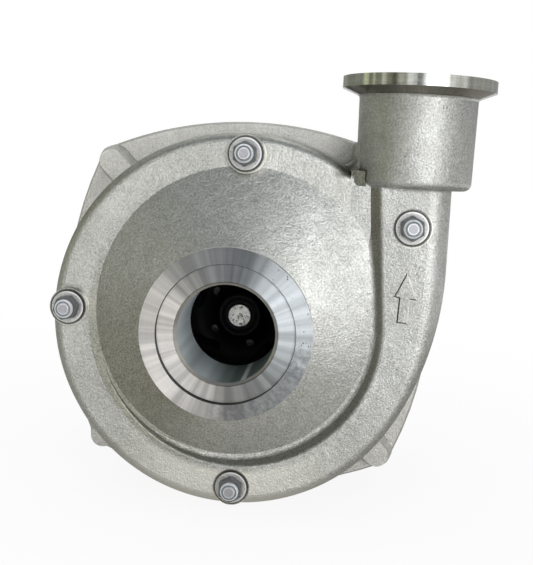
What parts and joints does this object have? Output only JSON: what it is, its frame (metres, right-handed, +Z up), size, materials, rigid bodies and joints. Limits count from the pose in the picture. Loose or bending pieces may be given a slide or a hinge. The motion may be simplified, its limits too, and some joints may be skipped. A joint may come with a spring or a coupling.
{
  "type": "engine-driven centrifugal pump",
  "caption": "End-suction centrifugal pump with stainless volute casing, clamp-flanged suction and upright discharge, closed impeller, shaft seal and engine adapter.",
  "frame": {"origin": "centre of the engine face, on the shaft axis", "axes": "+Y along the shaft from the suction flange to the engine, +Z up along the discharge, +X towards the discharge leg"},
  "size_m": [0.2288, 0.216, 0.2302],
  "materials": {
    "cast_stainless": "fine sand-blasted casting, satin, warm grey",
    "plate_stainless": "fine sand-blasted casting, matte, light grey",
    "zinc_steel": "bright zinc plating",
    "turned_stainless": "turned, semi-bright",
    "dark_steel": "black oxide",
    "adapter_iron": "cast, plain grey",
    "black_plastic": "moulded, slightly glossy",
    "seal_rubber": "moulded rubber",
    "seat_ceramic": "lapped ceramic",
    "seal_carbon": null
  },
  "bodies": {
    "casing": {"volute_casing": "cast_stainless", "back_casing": "plate_stainless", "casing_seal_ring": "seal_rubber", "casing_studs": "zinc_steel", "stud_washers": "zinc_steel", "stud_nuts": "zinc_steel", "nut_lock_rings": "black_plastic", "wear_ring": "turned_stainless", "seal_seat": "seat_ceramic", "seat_cup": "seal_rubber", "engine_adapter": "adapter_iron", "adapter_screws": "zinc_steel", "adapter_lock_washers": "zinc_steel"},
    "rotor": {"impeller": "black_plastic", "impeller_insert": "turned_stainless", "hub_seal_ring": "seal_rubber", "pump_shaft": "turned_stainless", "seal_face_ring": "seal_carbon", "seal_bellows": "seal_rubber", "seal_shell": "turned_stainless", "seal_spring": "turned_stainless", "spring_retainer": "turned_stainless", "slinger_ring": "seal_rubber", "shaft_set_screws": "dark_steel"}
  },
  "joints": [
    {"name": "rotor_spin", "type": "hinge", "parent": "casing", "child": "rotor", "pos_m": [0, 0, 0], "axis": [0, 1, 0], "continuous": true}
  ]
}
